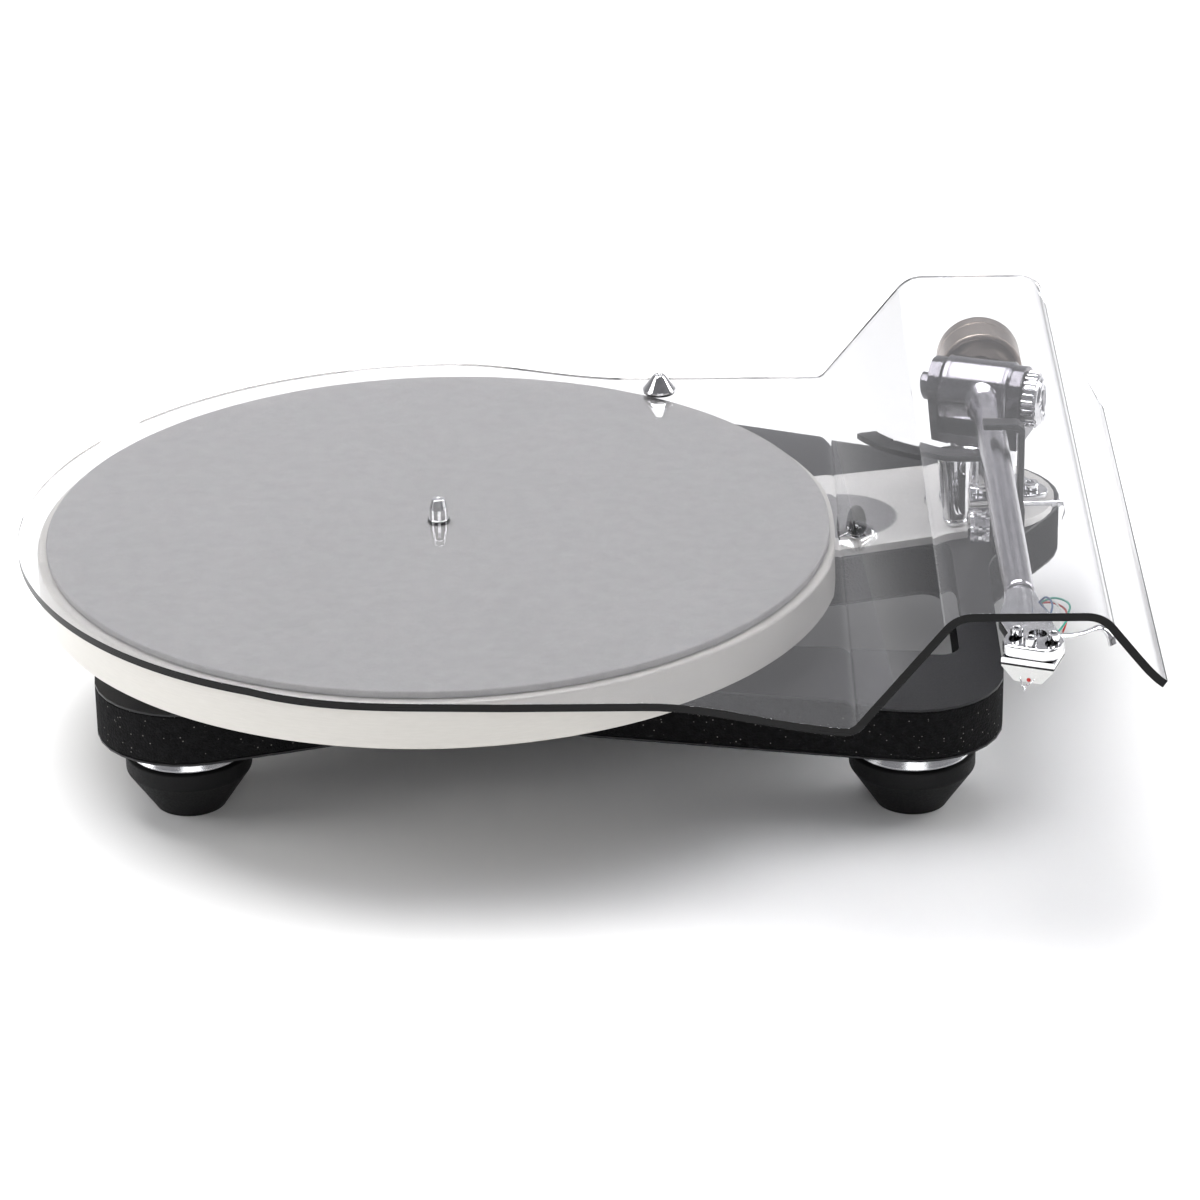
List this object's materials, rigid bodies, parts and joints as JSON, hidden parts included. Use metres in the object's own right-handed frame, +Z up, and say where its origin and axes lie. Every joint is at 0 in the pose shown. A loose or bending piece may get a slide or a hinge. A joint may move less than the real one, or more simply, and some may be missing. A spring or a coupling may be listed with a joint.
{
  "type": "turntable record player",
  "caption": "Belt-driven turntable with a skeletal plinth, thick white platter, felt mat, pivoted tonearm with cartridge and a bent clear cover humped over the arm.",
  "frame": {"origin": "on the floor, under the middle of the bounding box; the platter spindle stands to the left of it", "axes": "+X to the tonearm side, +Y to the rear, +Z up"},
  "size_m": [0.4119, 0.3454, 0.1256],
  "materials": {
    "rubber": "matte black",
    "aluminium": "satin",
    "polished": "polished",
    "dark_metal": "gloss dark",
    "tungsten": "satin brown",
    "brass": "machined",
    "foam": "speckled foam",
    "laminate": "satin laminate",
    "ceramic": "white glazed",
    "felt": "felt",
    "belt": "white rubber",
    "black_plastic": "satin black",
    "white_plastic": "gloss white",
    "blue_lead": "sleeve",
    "green_lead": "sleeve",
    "red_lead": "sleeve",
    "white_lead": "sleeve",
    "acrylic": "clear"
  },
  "bodies": {
    "plinth": {"foot_cone_front_left": "rubber", "foot_ring_front_left": "aluminium", "foot_seat_front_left": "rubber", "foot_cone_front_right": "rubber", "foot_ring_front_right": "aluminium", "foot_seat_front_right": "rubber", "foot_cone_rear": "rubber", "foot_ring_rear": "aluminium", "foot_seat_rear": "rubber", "plinth_core": "foam", "plinth_top_skin": "laminate", "plinth_bottom_skin": "laminate", "top_brace": "ceramic", "bottom_brace": "laminate", "brace_stud": "black_plastic", "signal_gland": "black_plastic", "power_inlet": "aluminium", "bearing_housing": "brass", "thrust_ball": "polished", "motor_can": "dark_metal", "motor_rim": "aluminium", "drive_belt_upper": "belt", "drive_belt_lower": "belt", "arm_flange": "polished", "flange_screw_1": "polished", "flange_screw_2": "polished", "flange_screw_3": "polished", "arm_pillar": "polished", "lift_cylinder": "polished", "lift_block": "black_plastic", "arm_rest_clip": "black_plastic"},
    "platter": {"spindle": "polished", "sub_platter": "aluminium", "platter": "ceramic", "platter_mat": "felt"},
    "pulley": {"motor_pulley": "aluminium"},
    "cover": {"cover_sheet": "acrylic", "cover_knob": "polished"},
    "yoke": {"arm_yoke": "dark_metal", "pitch_axle": "polished", "yoke_cap": "polished"},
    "force_dial": {"force_dial": "polished"},
    "arm": {"arm_tube": "aluminium", "weight_stub": "aluminium", "headshell": "polished", "finger_lift": "polished", "cartridge_body": "white_plastic", "cartridge_screw_1": "polished", "cartridge_screw_2": "polished", "cartridge_screw_3": "polished", "cantilever": "polished", "lead_red": "red_lead", "lead_green": "green_lead", "lead_blue": "blue_lead", "lead_white": "white_lead"},
    "counterweight": {"counterweight": "tungsten"},
    "lift_platform": {"lift_platform": "black_plastic"},
    "cue_lever": {"cue_lever": "polished"},
    "bias_knob": {"bias_knob": "aluminium"}
  },
  "joints": [
    {"name": "platter_spin", "type": "hinge", "parent": "plinth", "child": "platter", "pos_m": [-0.0485, 0.00925, 0.0606], "axis": [0, 0, -1], "continuous": true},
    {"name": "pulley_spin", "type": "hinge", "parent": "plinth", "child": "pulley", "pos_m": [-0.1085, -0.02675, 0.0593], "axis": [0, 0, -1], "continuous": true},
    {"name": "cover_lift", "type": "slide", "parent": "plinth", "child": "cover", "axis": [0, 0, 1], "range_m": [0, 0.06]},
    {"name": "arm_swing", "type": "hinge", "parent": "plinth", "child": "yoke", "pos_m": [0.1615, 0.09325, 0.0956], "axis": [0, 0, -1], "range_deg": [0, 7]},
    {"name": "arm_pitch", "type": "hinge", "parent": "yoke", "child": "arm", "pos_m": [0.1615, 0.09325, 0.0956], "axis": [-0.9397, 0.342, 0], "range_deg": [0, 2]},
    {"name": "force_dial_turn", "type": "hinge", "parent": "yoke", "child": "force_dial", "pos_m": [0.1615, 0.09325, 0.0956], "axis": [-0.9397, 0.342, 0], "range_deg": [0, 270]},
    {"name": "weight_slide", "type": "slide", "parent": "arm", "child": "counterweight", "axis": [0, 1, 0], "range_m": [0, 0.004]},
    {"name": "cue_turn", "type": "hinge", "parent": "plinth", "child": "cue_lever", "pos_m": [0.1735, 0.04925, 0.0676], "axis": [-1, 0, 0], "range_deg": [0, 60]},
    {"name": "lift_rise", "type": "slide", "parent": "plinth", "child": "lift_platform", "axis": [0, 0, 1], "range_m": [0, 0.003]},
    {"name": "bias_turn", "type": "hinge", "parent": "plinth", "child": "bias_knob", "pos_m": [0.1615, 0.03925, 0.0631], "axis": [1, 0, 0], "range_deg": [0, 270]}
  ],
  "couplings": [
    {"joint": "pulley_spin", "follows": "platter_spin", "ratio": 6.0405},
    {"joint": "cue_turn", "follows": "lift_rise", "rad_per_m": 349.06}
  ]
}
